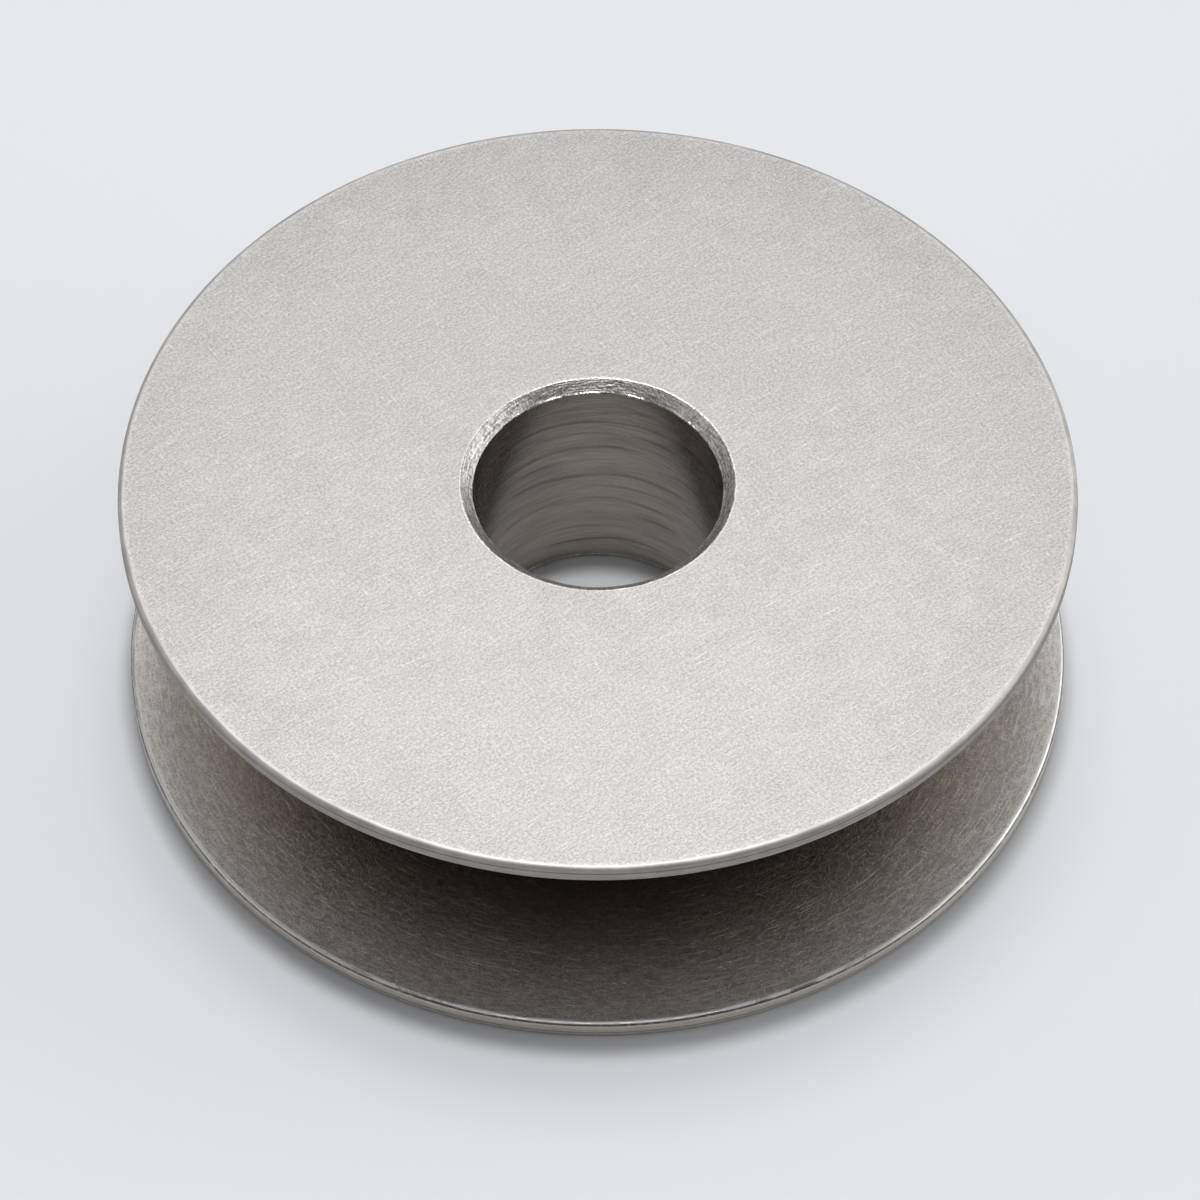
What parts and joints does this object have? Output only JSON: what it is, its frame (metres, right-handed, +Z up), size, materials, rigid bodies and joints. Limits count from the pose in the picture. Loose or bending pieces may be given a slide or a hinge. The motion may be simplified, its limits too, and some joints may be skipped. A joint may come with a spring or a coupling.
{
  "type": "sewing machine bobbin",
  "caption": "Flat-flanged turned metal spool with a chamfered centre bore, which holds the lower thread of a sewing machine.",
  "frame": {"origin": "on the bobbin's axis, at the lower flange's outer face, which it rests on", "axes": "+Z up along the bobbin's axis; X and Y are equal, because the bobbin is round"},
  "size_m": [0.023, 0.023, 0.0067],
  "materials": {
    "satin_steel": "satin, tumbled, with fine scratches"
  },
  "bodies": {
    "root": {"bobbin": "satin_steel"}
  },
  "joints": []
}
